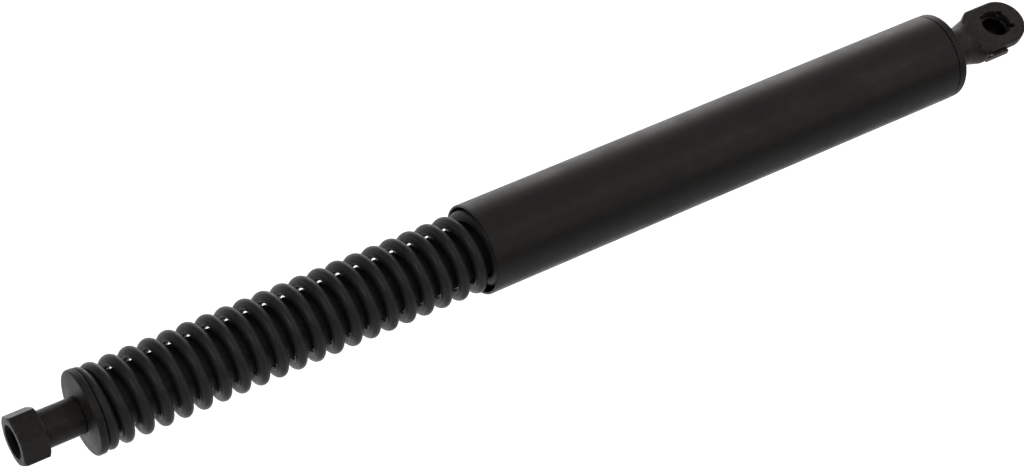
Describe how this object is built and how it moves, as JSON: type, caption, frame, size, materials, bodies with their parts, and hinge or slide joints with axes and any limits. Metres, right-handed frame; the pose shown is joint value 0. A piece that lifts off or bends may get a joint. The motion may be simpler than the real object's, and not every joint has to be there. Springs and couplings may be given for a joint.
{
  "type": "gas strut stay",
  "caption": "Black gas strut with an outer coil spring under a long cover sleeve, a hollow hex end and a ball socket end held by a clip.",
  "frame": {"origin": "centre of the ball seat in the socket end", "axes": "+X along the strut, out of the ball socket end; +Z out of the socket's mouth, along the ball stud; the strut reaches towards -X"},
  "size_m": [0.3822, 0.03, 0.03],
  "materials": {
    "sleeve_black": "satin black coating",
    "cap_black": "satin black coating",
    "head_black": "matte black phosphate",
    "fitting_black": "matte black phosphate",
    "seat_black": "matte black phosphate",
    "coil_black": "satin black powder coat",
    "tube_black": "satin black paint",
    "spring_steel": "blued spring steel",
    "plain_steel": "machined steel",
    "chromed_steel": "ground and hard chromed",
    "sintered_steel": "sintered iron",
    "bronze": "sintered bronze with oil",
    "rubber_black": "nitrile rubber",
    "wiper_plastic": "filled plastic"
  },
  "bodies": {
    "cover_side": {"cover_sleeve": "sleeve_black", "end_cap": "cap_black", "ball_socket_head": "head_black", "piston_rod": "chromed_steel", "lock_washer": "plain_steel", "rod_lock_nut": "plain_steel", "rear_spring_seat": "seat_black", "piston_valve_disc": "spring_steel", "piston": "sintered_steel", "piston_ring": "rubber_black", "piston_backing_disc": "plain_steel", "piston_nut": "plain_steel", "coil_spring": "coil_black"},
    "front_seat": {"front_spring_seat": "seat_black"},
    "tube_side": {"pressure_tube": "tube_black", "dust_wiper": "wiper_plastic", "rod_guide": "plain_steel", "guide_bush": "bronze", "seal_support_washer": "plain_steel", "rod_seal": "rubber_black", "seal_keeper_ring": "plain_steel", "tube_end_plug": "plain_steel", "end_plug_seal": "rubber_black", "seat_snap_ring": "fitting_black", "hex_end_fitting": "fitting_black"},
    "clip": {"retaining_clip": "spring_steel"}
  },
  "joints": [
    {"name": "strut_slide", "type": "slide", "parent": "cover_side", "child": "front_seat", "axis": [1, 0, 0], "range_m": [0, 0.11], "stiffness_N_per_m": 1200, "springref_m": -0.25, "deforming": ["coil_spring"]},
    {"name": "tube_turn", "type": "hinge", "parent": "front_seat", "child": "tube_side", "pos_m": [-0.35, 0, 0], "axis": [1, 0, 0], "continuous": true},
    {"name": "clip_release", "type": "slide", "parent": "cover_side", "child": "clip", "axis": [0, -1, 0], "range_m": [0, 0.0015], "stiffness_N_per_m": 400, "springref_m": -0.0005}
  ]
}
